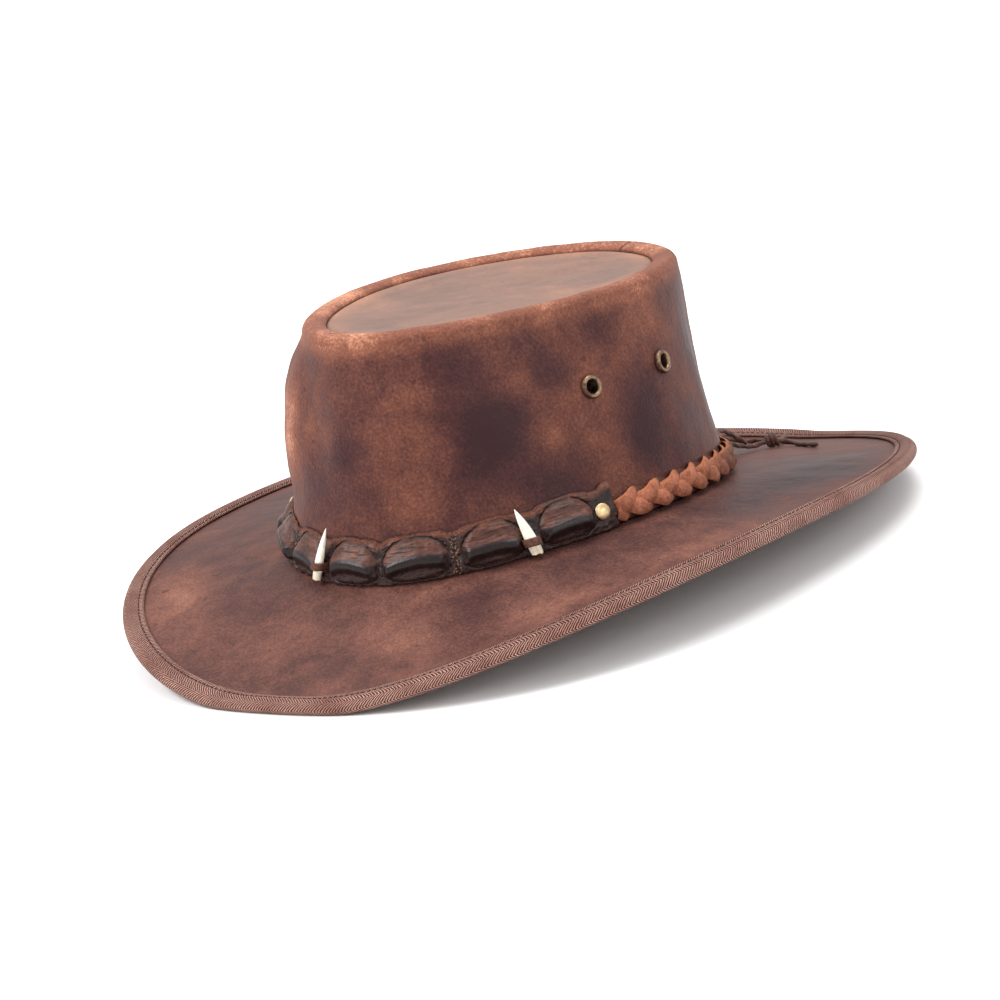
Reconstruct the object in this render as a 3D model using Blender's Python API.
"""A leather bush hat: crown, brim, bound edge, crocodile band, braid and tie.

Metres, +Z up. The hat rests on the floor on the front and the back of its
brim. Its front is toward -Y and the wearer's left side is toward +X. An
angle runs round the hat: 0 is its left side, 90 its back and -90 its front.
"""
from collections import namedtuple
from math import cos, pi, radians, sin

import bmesh
import bpy
from mathutils import Matrix, Vector

# Plan of the brim's edge, a squarish oval that is a little wider behind
BRIM_LENGTH = 0.3687
BRIM_WIDTH = 0.3071
BRIM_SQUARENESS = 2.36
BRIM_EGG = 0.04

# Plan of the crown's outer face where it stands on the brim
BASE_LENGTH = 0.2092
BASE_WIDTH = 0.1790
BASE_SQUARENESS = 2.0
BASE_EGG = 0.04
BASE_FORWARD = 0.0055

# Plan of the crown's outer face at its shoulder
TOP_LENGTH = 0.1958
TOP_WIDTH = 0.1454
TOP_SQUARENESS = 1.90
TOP_EGG = 0.11
TOP_BACK = 0.0050

# Heights above the floor: a mean, how far the front stands above it, and so on
BASE_HEIGHT = 0.0298
BASE_TILT = 0.0066
BASE_SADDLE = 0.0045
CREST_HEIGHT = 0.1250
CREST_TILT = 0.0064
CREST_LEAN = 0.0004

# The brim's edge: sides turned up, front corners a little higher than rear
EDGE_SADDLE = 0.0137
EDGE_FRONT_LIFT = 0.0022
EDGE_CORNER = 0.0020
BRIM_SWEEP = 1.25
REST_PRESS = 0.0022
REST_SOFTNESS = 0.0012

# Leather, tape and the gaps between pieces
BRIM_WALL = 0.0024
CROWN_WALL = 0.0020
TIP_WALL = 0.0020
TAPE_WALL = 0.0010
TAPE_WIDTH = 0.0115
TAPE_GAP = 0.0004
GAP = 0.0003

# The crown's rolled top edge and the tip that is sewn inside it
SHOULDER = 0.0040
RIM_WIDTH = 0.0108
RIM_FALL = 0.0024
FLANGE_DEPTH = 0.0050
TIP_SAG = 0.0016

# How far the wall bows out between brim and shoulder: everywhere, and at the front
BOW_MEAN = -0.0004
BOW_FRONT = 0.0015

# Rows of the wall, outside and inside, from the brim to the shoulder
OUTER_RISES = (0.0, 0.10, 0.26, 0.44, 0.62, 0.80, 1.0)
INNER_RISES = (1.0, 0.62, 0.26, 0.0)
TIP_SHARES = (1.0, 0.72, 0.42)
BRIM_SHARES = (0.0, 0.32, 0.64)

# Soft dents in the wall: place round and up, depth and spread
DENTS = (
    # angle, rise, depth, spread_angle, spread_rise
    (-142, 0.22, 0.0016, 20, 0.20),
    (-108, 0.62, 0.0010, 16, 0.22),
    (-60, 0.45, 0.0012, 18, 0.30),
    (38, 0.50, 0.0012, 9, 0.45),
    (80, 0.40, 0.0014, 22, 0.28),
    (150, 0.45, 0.0014, 20, 0.30),
    (205, 0.60, 0.0010, 18, 0.25),
    (-141, 0.61, -0.0044, 16, 0.38),
    (-141, 0.80, -0.0022, 16, 0.20),
)

# Brass eyelets, two on each side
EYELET_ANGLES = (("front", -18), ("rear", 8))
EYELET_RISE = 0.63
EYELET_RADIUS = 0.0051
EYELET_HOLE = 0.0028
EYELET_BARREL = 0.0034
EYELET_DOME = 0.0015
WASHER_RADIUS = 0.0046
WASHER_WALL = 0.0006

# The crocodile band: skin, raised scutes along its middle and its three strips
BAND_HEIGHT = 0.0176
BAND_SKIN = 0.0026
SCUTE_HEIGHT = 0.0036
BAND_SCALLOP = 0.06
STRIP_STEP = 3.0
STRIPS = (
    # name, start, end
    ("band_strip_left", -61.6, -20.6),
    ("band_strip_front", -118.4, -62.0),
    ("band_strip_right", -159.4, -118.8),
)
SCUTES = (
    # start, end
    (-145.5, -137.5),
    (-136, -121),
    (-117, -109),
    (-99.5, -84),
    (-82, -64),
    (-60, -47),
    (-38.5, -29),
)
BAND_SECTION = (
    # height, skin, ridge
    (0.00, 0.55, 0.00),
    (0.12, 1.00, 0.15),
    (0.34, 1.00, 0.50),
    (0.46, 1.00, 1.00),
    (0.60, 1.00, 0.80),
    (0.80, 1.00, 0.25),
    (1.00, 0.50, 0.00),
)

# Rivets through the outer ends of the band
RIVETS = (("rivet_left", -24.4), ("rivet_right", -155.6))
RIVET_RADIUS = 0.0035
RIVET_DOME = 0.0014
RIVET_SHANK = 0.0013
RIVET_RISE = 0.0088

# Crocodile teeth, each under a small leather loop
TEETH = (
    # name, angle, lean, bend, length, width
    ("left", -42.4, -9, -0.07, 0.0205, 0.0054),
    ("front", -104.5, 16, 0.08, 0.0240, 0.0046),
)
TOOTH_SECTIONS = (
    # along, width
    (0.00, 0.88),
    (0.10, 0.98),
    (0.30, 1.00),
    (0.52, 0.86),
    (0.72, 0.62),
    (0.88, 0.34),
    (1.00, 0.06),
)
TOOTH_FLATNESS = 0.74
TOOTH_SIDES = 8
TOOTH_LIFT = 0.0010
LOOP_WIDTH = 0.0040
LOOP_WALL = 0.0010
LOOP_ALONG = 0.27
LOOP_HAUNCH = 0.72
LOOP_CROWN = 0.66

# Flat braid from each rivet round to the back: rows of overlapping lobes
BRAIDS = (
    # name, start, end
    ("braid_left", -20.2, 56.0),
    ("braid_right", 200.2, 76.0),
)
BRAID_WIDTH = 0.0112
BRAID_WALL = 0.0042
BRAID_LIFT = 0.0016
BRAID_PITCH = 0.0135
BRAID_STEPS = 3
BRAID_DIP = 0.26
BRAID_EDGE = 0.30
BRAID_TOP = 0.60
BRAID_BACK = 0.80

# The lace that ties the braid behind the crown, laid on the brim
LACE_DIAMETER = 0.0024
LACE_ROUTES = (
    # name, points
    ("tie_end", (
        (0.0513, 0.0839, 0.0338), (0.0478, 0.0922, 0.0332), (0.0450, 0.1025, 0.0290),
        (0.0446, 0.1095, 0.0244), (0.0459, 0.1135, 0.0209))),
    ("tie_lace_upper", (
        (0.0246, 0.0983, 0.0284), (0.0280, 0.1050, 0.0272), (0.0306, 0.1165, 0.0221),
        (0.0315, 0.1280, 0.0172), (0.0326, 0.1370, 0.0141), (0.0366, 0.1430, 0.0125))),
    ("tie_lace_lower", (
        (0.0515, 0.0839, 0.0296), (0.0466, 0.0932, 0.0284), (0.0425, 0.1050, 0.0233),
        (0.0406, 0.1140, 0.0194), (0.0400, 0.1220, 0.0165), (0.0393, 0.1290, 0.0144),
        (0.0376, 0.1366, 0.0126))),
    ("tie_tail_short", (
        (0.0400, 0.1458, 0.0120), (0.0372, 0.1525, 0.0098), (0.0336, 0.1605, 0.0078),
        (0.0310, 0.1680, 0.0066))),
    ("tie_tail_long", (
        (0.0454, 0.1437, 0.0126), (0.0510, 0.1430, 0.0116), (0.0575, 0.1390, 0.0124),
        (0.0640, 0.1350, 0.0136), (0.0710, 0.1310, 0.0148))),
)
KNOT_PLACE = (0.0415, 0.1405, 0.0134)
KNOT_RADIUS = 0.0034
KNOT_LENGTH = 0.0088
KNOT_TURN = 38

# Facets round the hat, an eyelet, a rivet and the knot
AROUND = 64
EYELET_SIDES = 12
RIVET_SIDES = 12
KNOT_SIDES = 8

STACK = BRIM_WALL / 2 + TAPE_GAP + TAPE_WALL

Plan = namedtuple("Plan", "length width power egg centre")
BRIM_PLAN = Plan(BRIM_LENGTH, BRIM_WIDTH, BRIM_SQUARENESS, BRIM_EGG, 0.0)
BASE_PLAN = Plan(BASE_LENGTH, BASE_WIDTH, BASE_SQUARENESS, BASE_EGG, -BASE_FORWARD)
TOP_PLAN = Plan(TOP_LENGTH, TOP_WIDTH, TOP_SQUARENESS, TOP_EGG, TOP_BACK)

# Each finish: colour, roughness, metallic
FINISHES = {
    "crown_leather": ((0.150, 0.055, 0.028), 0.55, 0.0),
    "tip_leather": ((0.200, 0.095, 0.055), 0.60, 0.0),
    "brim_leather": ((0.095, 0.036, 0.024), 0.52, 0.0),
    "binding_twill": ((0.150, 0.060, 0.048), 0.80, 0.0),
    "crocodile": ((0.060, 0.028, 0.022), 0.35, 0.0),
    "braid_suede": ((0.230, 0.075, 0.035), 0.85, 0.0),
    "lace_leather": ((0.085, 0.025, 0.015), 0.55, 0.0),
    "tooth": ((0.800, 0.760, 0.660), 0.40, 0.0),
    "loop_leather": ((0.085, 0.032, 0.022), 0.55, 0.0),
    "antique_brass": ((0.260, 0.150, 0.085), 0.35, 1.0),
    "brass": ((0.720, 0.520, 0.230), 0.30, 1.0),
}


def clear_scene():
    for item in list(bpy.data.objects):
        bpy.data.objects.remove(item)


def finish(name):
    """The material of one finish, made once."""
    material = bpy.data.materials.get(name)
    if material is None:
        colour, roughness, metallic = FINISHES[name]
        material = bpy.data.materials.new(name)
        material.use_nodes = True
        shader = material.node_tree.nodes["Principled BSDF"]
        shader.inputs["Base Color"].default_value = (*colour, 1.0)
        shader.inputs["Roughness"].default_value = roughness
        shader.inputs["Metallic"].default_value = metallic
    return material


def add_object(name, work, finish_name, frame=None):
    """An object from a bmesh, with its faces pointing out."""
    bmesh.ops.recalc_face_normals(work, faces=work.faces)
    mesh = bpy.data.meshes.new(name)
    work.to_mesh(mesh)
    work.free()
    mesh.shade_smooth()
    mesh.set_sharp_from_angle(angle=radians(40))
    mesh.materials.append(finish(finish_name))
    item = bpy.data.objects.new(name, mesh)
    bpy.context.collection.objects.link(item)
    if frame is not None:
        item.matrix_world = frame
    return item


def sweep(sections, closed):
    """A bmesh through like sections, joined end to end or capped at both ends.

    Each four-sided patch is split along its shorter diagonal, so that pieces
    that lie on each other bend alike.
    """
    work = bmesh.new()
    rings = [[work.verts.new(point) for point in section] for section in sections]
    count = len(rings[0])
    for k in range(len(rings) if closed else len(rings) - 1):
        here, there = rings[k], rings[(k + 1) % len(rings)]
        for j in range(count):
            following = (j + 1) % count
            a, b, c, d = here[j], here[following], there[following], there[j]
            if (a.co - c.co).length <= (b.co - d.co).length:
                work.faces.new((a, b, c))
                work.faces.new((a, c, d))
            else:
                work.faces.new((a, b, d))
                work.faces.new((b, c, d))
    if not closed:
        work.faces.new(rings[0])
        work.faces.new(rings[-1])
    return work


def turned(profile, sides):
    """A bmesh turned about Z from (radius, height) points that end on the axis or meet."""
    work = bmesh.new()
    verts = [work.verts.new((radius, 0.0, height)) for radius, height in profile]
    edges = [work.edges.new(pair) for pair in zip(verts, verts[1:])]
    if profile[0][0] > 0.0:
        edges.append(work.edges.new((verts[-1], verts[0])))
    bmesh.ops.spin(work, geom=verts + edges, cent=(0, 0, 0), axis=(0, 0, 1),
                   dvec=(0, 0, 0), angle=2 * pi, steps=sides)
    bmesh.ops.remove_doubles(work, verts=work.verts, dist=1e-6)
    return work


def hole_cutter(name, radius, depth, frame):
    """A guide cylinder, centred on the frame and along its Z."""
    work = bmesh.new()
    bmesh.ops.create_cone(work, cap_ends=True, segments=EYELET_SIDES, radius1=radius,
                          radius2=radius, depth=depth)
    cutter = add_object(name, work, "brass", frame)
    cutter.hide_render = True
    cutter.display_type = "WIRE"
    return cutter


def cut(item, cutter):
    modifier = item.modifiers.new(cutter.name, "BOOLEAN")
    modifier.operation = "DIFFERENCE"
    modifier.object = cutter


def plan_point(plan, angle):
    """A point of a plan outline: an oval, squarer with its power, wider behind by its egg."""
    c, s = cos(angle), sin(angle)
    reach = (abs(c) ** plan.power + abs(s) ** plan.power) ** (-1 / plan.power)
    x = plan.width / 2 * reach * c * (1 + plan.egg * s)
    return Vector((x, plan.centre + plan.length / 2 * reach * s, 0.0))


def outward(plan, angle):
    """The outline's outward direction, level."""
    step = 0.01
    along = plan_point(plan, angle + step) - plan_point(plan, angle - step)
    return Vector((along.y, -along.x, 0.0)).normalized()


def edge_height(angle):
    """The middle of the brim's edge before the floor flattens it."""
    lowest = -EDGE_SADDLE - EDGE_CORNER
    wave = (EDGE_SADDLE * cos(2 * angle) - EDGE_FRONT_LIFT * (sin(angle) + sin(3 * angle))
            - EDGE_CORNER * cos(4 * angle))
    return STACK - REST_PRESS + wave - lowest


def base_height(angle):
    """The brim's top face where the crown stands on it."""
    return BASE_HEIGHT - BASE_TILT * sin(angle) + BASE_SADDLE * cos(2 * angle)


def crest_height(angle):
    return CREST_HEIGHT - CREST_TILT * sin(angle) + CREST_LEAN * cos(angle)


def settled(height):
    """A height of the brim's middle, held up by the floor under the binding."""
    over = height - STACK
    if over <= 0.0:
        return STACK
    return STACK + over * over / (over + REST_SOFTNESS)


def brim_point(angle, share, lift):
    """A point of the brim: share 0 at the crown and 1 at the edge, lift from its middle."""
    foot, edge = plan_point(BASE_PLAN, angle), plan_point(BRIM_PLAN, angle)
    inner = base_height(angle) - BRIM_WALL / 2
    fall = 1 - (1 - share) ** BRIM_SWEEP
    point = foot.lerp(edge, share)
    point.z = settled(inner + (edge_height(angle) - inner) * fall) + lift
    return point


def share_from_edge(angle, inset):
    span = (plan_point(BRIM_PLAN, angle) - plan_point(BASE_PLAN, angle)).length
    return 1 - inset / span


def dent_depth(angle, rise):
    depth = 0.0
    for dent_angle, dent_rise, dent, spread_angle, spread_rise in DENTS:
        turn = (angle - radians(dent_angle) + pi) % (2 * pi) - pi
        across, up = turn / radians(spread_angle), (rise - dent_rise) / spread_rise
        reach = across * across + up * up
        if reach < 1:
            depth += dent * (1 - reach) ** 2
    return depth


def wall_point(angle, rise, out):
    """A point of the crown's wall: rise 0 on the brim and 1 at the shoulder."""
    foot, top = plan_point(BASE_PLAN, angle), plan_point(TOP_PLAN, angle)
    bow = (BOW_MEAN - BOW_FRONT * sin(angle)) * 4 * rise * (1 - rise)
    point = foot.lerp(top, rise)
    point += outward(BASE_PLAN, angle) * (out + bow - dent_depth(angle, rise))
    low, high = base_height(angle) + GAP, crest_height(angle) - SHOULDER
    point.z = low + (high - low) * rise
    return point


def wall_height(angle):
    return crest_height(angle) - SHOULDER - base_height(angle) - GAP


def on_wall(angle, height, out):
    """A point beside the wall, at a height over the brim in metres."""
    return wall_point(angle, height / wall_height(angle), out)


def rim_point(angle, inset, drop):
    """A point of the crown's top edge, inward from the shoulder and under the crest."""
    point = plan_point(TOP_PLAN, angle) - outward(BASE_PLAN, angle) * inset
    point.z = crest_height(angle) - drop
    return point


def wall_frame(angle, height, out):
    """Axes on the wall: X round the hat, Y up the wall and Z out of it."""
    step = 0.02
    round_hat = on_wall(angle + step, height, out) - on_wall(angle - step, height, out)
    up_wall = on_wall(angle, height + 0.001, out) - on_wall(angle, height - 0.001, out)
    away = round_hat.cross(up_wall).normalized()
    round_hat.normalize()
    frame = Matrix((round_hat, away.cross(round_hat), away)).transposed().to_4x4()
    frame.translation = on_wall(angle, height, out)
    return frame


def angles_around():
    return [2 * pi * k / AROUND for k in range(AROUND)]


def make_crown_side():
    """The wall, rolled over at its top and turned down inside as a short flange."""
    sections = []
    for angle in angles_around():
        outer = [wall_point(angle, rise, 0.0) for rise in OUTER_RISES]
        for turn in (30, 60, 90):
            inset = SHOULDER * (1 - cos(radians(turn)))
            outer.append(rim_point(angle, inset, SHOULDER * (1 - sin(radians(turn)))))
        outer.append(rim_point(angle, RIM_WIDTH - RIM_FALL, RIM_FALL / 2))
        outer.append(rim_point(angle, RIM_WIDTH, RIM_FALL))
        outer.append(rim_point(angle, RIM_WIDTH, FLANGE_DEPTH))
        outer.append(rim_point(angle, RIM_WIDTH - CROWN_WALL, FLANGE_DEPTH))
        outer.append(rim_point(angle, RIM_WIDTH - CROWN_WALL, CROWN_WALL + RIM_FALL))
        outer.append(rim_point(angle, SHOULDER, CROWN_WALL))
        inner = [wall_point(angle, rise, -CROWN_WALL) for rise in INNER_RISES]
        sections.append(outer + inner)
    side = add_object("crown_side", sweep(sections, closed=True), "crown_leather")
    for name, frame in eyelet_places():
        depth = 3 * CROWN_WALL + 2 * EYELET_DOME
        cut(side, hole_cutter(name + "_hole", EYELET_BARREL + GAP, depth, frame))


def make_crown_tip():
    """The flat top of the crown, sagging a little, inside the rolled edge."""
    edge = RIM_WIDTH + GAP
    middle = (rim_point(pi / 2, edge, 0.0) + rim_point(-pi / 2, edge, 0.0)) / 2

    def ring(share, drop):
        points = []
        for angle in angles_around():
            point = middle.lerp(rim_point(angle, edge, 0.0), share)
            point.z -= drop + TIP_SAG * (1 - share * share)
            points.append(point)
        return points

    rings = [ring(share, RIM_FALL) for share in reversed(TIP_SHARES)]
    rings += [ring(share, RIM_FALL + TIP_WALL) for share in TIP_SHARES]
    work = sweep(rings, closed=False)
    add_object("crown_tip", work, "tip_leather")


def make_brim():
    """One flat ring of leather, from inside the crown's wall to inside the binding."""
    edge_inset = TAPE_WALL + TAPE_GAP
    half = BRIM_WALL / 2
    sections = []
    for angle in angles_around():
        places = list(BRIM_SHARES)
        for inset in (TAPE_WIDTH, TAPE_WIDTH / 2, edge_inset):
            places.append(share_from_edge(angle, inset))
        under = plan_point(BASE_PLAN, angle) - outward(BASE_PLAN, angle) * CROWN_WALL
        top = under + Vector((0.0, 0.0, base_height(angle)))
        bottom = under + Vector((0.0, 0.0, base_height(angle) - BRIM_WALL))
        upper = [top] + [brim_point(angle, share, half) for share in places]
        lower = [bottom] + [brim_point(angle, share, -half) for share in places]
        sections.append(upper + lower[::-1])
    add_object("brim", sweep(sections, closed=True), "brim_leather")


def make_binding():
    """Twill tape folded round the brim's edge, round at its nose."""
    slot = BRIM_WALL / 2 + TAPE_GAP
    nose = [(STACK * (1 - sin(radians(turn))), STACK * cos(radians(turn)))
            for turn in (0, 45, 90, 135, 180)]
    outline = [(TAPE_WIDTH, STACK)] + nose + [
        (TAPE_WIDTH * 0.72, -STACK),
        (TAPE_WIDTH, -STACK),
        (TAPE_WIDTH, -slot),
        (TAPE_WIDTH / 2, -slot),
        (TAPE_WALL, -slot),
        (TAPE_WALL, slot),
        (TAPE_WIDTH / 2, slot),
        (TAPE_WIDTH, slot),
    ]
    sections = []
    for angle in angles_around():
        sections.append([brim_point(angle, share_from_edge(angle, inset), lift)
                         for inset, lift in outline])
    add_object("brim_binding", sweep(sections, closed=True), "binding_twill")


def eyelet_places():
    """Name and frame of each eyelet, on both sides of the crown."""
    places = []
    for side, mirrored in (("left", False), ("right", True)):
        for end, degrees in EYELET_ANGLES:
            angle = radians(180 - degrees if mirrored else degrees)
            height = EYELET_RISE * wall_height(angle)
            places.append((f"eyelet_{side}_{end}", wall_frame(angle, height, 0.0)))
    return places


def make_eyelets():
    """A domed flange outside, a barrel through the wall and a washer inside."""
    inside = -CROWN_WALL - GAP
    profile = (
        (EYELET_HOLE, inside - WASHER_WALL),
        (EYELET_HOLE, EYELET_DOME * 0.6),
        ((EYELET_HOLE + EYELET_RADIUS) / 2, EYELET_DOME + GAP),
        (EYELET_RADIUS * 0.92, EYELET_DOME * 0.8),
        (EYELET_RADIUS, GAP),
        (EYELET_BARREL, GAP),
        (EYELET_BARREL, inside),
        (WASHER_RADIUS, inside),
        (WASHER_RADIUS, inside - WASHER_WALL),
    )
    for name, frame in eyelet_places():
        add_object(name, turned(profile, EYELET_SIDES), "antique_brass", frame)


def ridge_share(degrees):
    """How high the scutes stand at a place round the band, from 0 to 1."""
    for start, end in SCUTES:
        if start < degrees < end:
            return sin(pi * (degrees - start) / (end - start)) ** 0.45
    return 0.0


def make_band():
    for name, start, end in STRIPS:
        count = max(2, round((end - start) / STRIP_STEP))
        sections = []
        for k in range(count + 1):
            degrees = start + (end - start) * k / count
            angle, ridge = radians(degrees), ridge_share(degrees)
            tall = BAND_HEIGHT * (1 - BAND_SCALLOP * (1 - ridge))
            face = []
            for height, skin, raised in BAND_SECTION:
                out = 2 * GAP + skin * BAND_SKIN + raised * ridge * SCUTE_HEIGHT
                face.append(on_wall(angle, GAP + height * tall, out))
            back = [on_wall(angle, GAP + height * tall, 2 * GAP) for height in (1.0, 0.5, 0.0)]
            sections.append(face + back)
        strip = add_object(name, sweep(sections, closed=False), "crocodile")
        for rivet, degrees in RIVETS:
            if start < degrees < end:
                frame = rivet_frame(degrees)
                cut(strip, hole_cutter(rivet + "_hole", RIVET_SHANK + GAP,
                                       6 * BAND_SKIN, frame))


def rivet_frame(degrees):
    return wall_frame(radians(degrees), RIVET_RISE, 2 * GAP + BAND_SKIN)


def make_rivets():
    """A domed head on the band and a shank through it."""
    profile = (
        (0.0, -BAND_SKIN),
        (RIVET_SHANK, -BAND_SKIN),
        (RIVET_SHANK, GAP),
        (RIVET_RADIUS, GAP),
        (RIVET_RADIUS * 0.95, GAP + RIVET_DOME * 0.45),
        (RIVET_RADIUS * 0.60, GAP + RIVET_DOME * 0.88),
        (0.0, GAP + RIVET_DOME),
    )
    for name, degrees in RIVETS:
        add_object(name, turned(profile, RIVET_SIDES), "brass", rivet_frame(degrees))


def tooth_frame(degrees):
    """A frame on the band's skin, at the brim."""
    return wall_frame(radians(degrees), TOOTH_LIFT, 3 * GAP + BAND_SKIN)


def tooth_axis(lean, bend, length, along):
    """A point of a tooth's middle line in its frame, before it stands off the band."""
    x = length * along * sin(radians(lean)) + bend * length * along * along
    return Vector((x, length * along * cos(radians(lean)), 0.0))


def make_teeth():
    for name, degrees, lean, bend, length, width in TEETH:
        thick = width * TOOTH_FLATNESS
        sections = []
        for along, share in TOOTH_SECTIONS:
            middle = tooth_axis(lean, bend, length, along)
            middle.z = thick / 2
            ring = []
            for k in range(TOOTH_SIDES):
                turn = 2 * pi * (k + 0.5) / TOOTH_SIDES
                ring.append(middle + Vector((width / 2 * share * cos(turn), 0.0,
                                             thick / 2 * share * sin(turn))))
            sections.append(ring)
        add_object("tooth_" + name, sweep(sections, closed=False), "tooth",
                   tooth_frame(degrees))
        make_tooth_loop(name, degrees, lean, bend, length, width, thick)


def make_tooth_loop(name, degrees, lean, bend, length, width, thick):
    """A strap over the tooth, its feet on the band on either side."""
    inner, outer = width / 2 + GAP, width / 2 + GAP + LOOP_WALL
    foot, roof = 0.0, thick + GAP
    arch = (
        (-outer, foot), (-outer, roof * LOOP_HAUNCH),
        (-outer * LOOP_HAUNCH, roof + LOOP_WALL), (outer * LOOP_HAUNCH, roof + LOOP_WALL),
        (outer, roof * LOOP_HAUNCH), (outer, foot),
        (inner, foot), (inner, roof * LOOP_CROWN), (inner * LOOP_CROWN, roof),
        (-inner * LOOP_CROWN, roof), (-inner, roof * LOOP_CROWN), (-inner, foot),
    )
    reach = LOOP_WIDTH / 2 / length
    sections = []
    for along in (LOOP_ALONG - reach, LOOP_ALONG + reach):
        middle = tooth_axis(lean, bend, length, along)
        sections.append([middle + Vector((x, 0.0, z)) for x, z in arch])
    add_object("tooth_loop_" + name, sweep(sections, closed=False), "loop_leather",
               tooth_frame(degrees))


def make_braids():
    """Each braid one solid, its edges scalloped by lobes that take turns high and low."""
    for name, start, end in BRAIDS:
        first, last = radians(start), radians(end)
        middle = BRAID_LIFT + BRAID_WIDTH / 2
        route = [on_wall(first + (last - first) * k / AROUND, middle, BRAID_WALL / 2)
                 for k in range(AROUND + 1)]
        length = sum((b - a).length for a, b in zip(route, route[1:]))
        count = max(2, round(length / BRAID_PITCH)) * BRAID_STEPS
        sections = []
        for k in range(count + 1):
            angle = first + (last - first) * k / count
            phase = 2 * pi * k / BRAID_STEPS
            high = 1 - BRAID_DIP * (0.5 - 0.5 * cos(phase))
            low = 1 - BRAID_DIP * (0.5 + 0.5 * cos(phase))
            half = BRAID_WIDTH / 2
            outline = (
                (-half * low, BRAID_EDGE), (-half * low * BRAID_TOP, low),
                (half * high * BRAID_TOP, high), (half * high, BRAID_EDGE),
                (half * high * BRAID_BACK, 0.0), (-half * low * BRAID_BACK, 0.0),
            )
            sections.append([on_wall(angle, middle + up, 2 * GAP + BRAID_WALL * out)
                             for up, out in outline])
        add_object(name, sweep(sections, closed=False), "braid_suede")


def smooth_route(points, spacing):
    """Points of a Catmull-Rom curve through a cord's route, about a spacing apart."""
    knots = [Vector(point) for point in points]
    before = knots[0] * 2 - knots[1]
    after = knots[-1] * 2 - knots[-2]
    knots = [before] + knots + [after]
    places = []
    for a, b, c, d in zip(knots, knots[1:], knots[2:], knots[3:]):
        steps = max(1, round((c - b).length / spacing))
        for k in range(steps):
            t = k / steps
            bend = (2 * a - 5 * b + 4 * c - d) * t * t + (3 * b - a - 3 * c + d) * t ** 3
            places.append(b + ((c - a) * t + bend) / 2)
    places.append(knots[-2])
    return places


def make_laces():
    """Tubes along the tie's routes, their ends capped."""
    for name, points in LACE_ROUTES:
        curve = bpy.data.curves.new(name, "CURVE")
        curve.dimensions = "3D"
        curve.bevel_depth = LACE_DIAMETER / 2
        curve.bevel_resolution = 2
        curve.use_fill_caps = True
        places = smooth_route(points, 2 * LACE_DIAMETER)
        spline = curve.splines.new("POLY")
        spline.points.add(len(places) - 1)
        for target, place in zip(spline.points, places):
            target.co = (*place, 1.0)
        curve.materials.append(finish("lace_leather"))
        item = bpy.data.objects.new(name, curve)
        bpy.context.collection.objects.link(item)


def make_knot():
    """The knot of the tie: a waisted bun, where the laces meet and the tails leave."""
    half = KNOT_LENGTH / 2
    profile = (
        (0.0, -half), (KNOT_RADIUS * 0.60, -half * 0.86), (KNOT_RADIUS, -half * 0.40),
        (KNOT_RADIUS * 0.86, 0.0), (KNOT_RADIUS, half * 0.40),
        (KNOT_RADIUS * 0.60, half * 0.86), (0.0, half),
    )
    lay = Matrix.Rotation(radians(KNOT_TURN), 4, "Z") @ Matrix.Rotation(pi / 2, 4, "Y")
    frame = Matrix.Translation(KNOT_PLACE) @ lay
    add_object("tie_knot", turned(profile, KNOT_SIDES), "lace_leather", frame)


clear_scene()
make_crown_side()
make_crown_tip()
make_brim()
make_binding()
make_eyelets()
make_band()
make_rivets()
make_teeth()
make_braids()
make_laces()
make_knot()
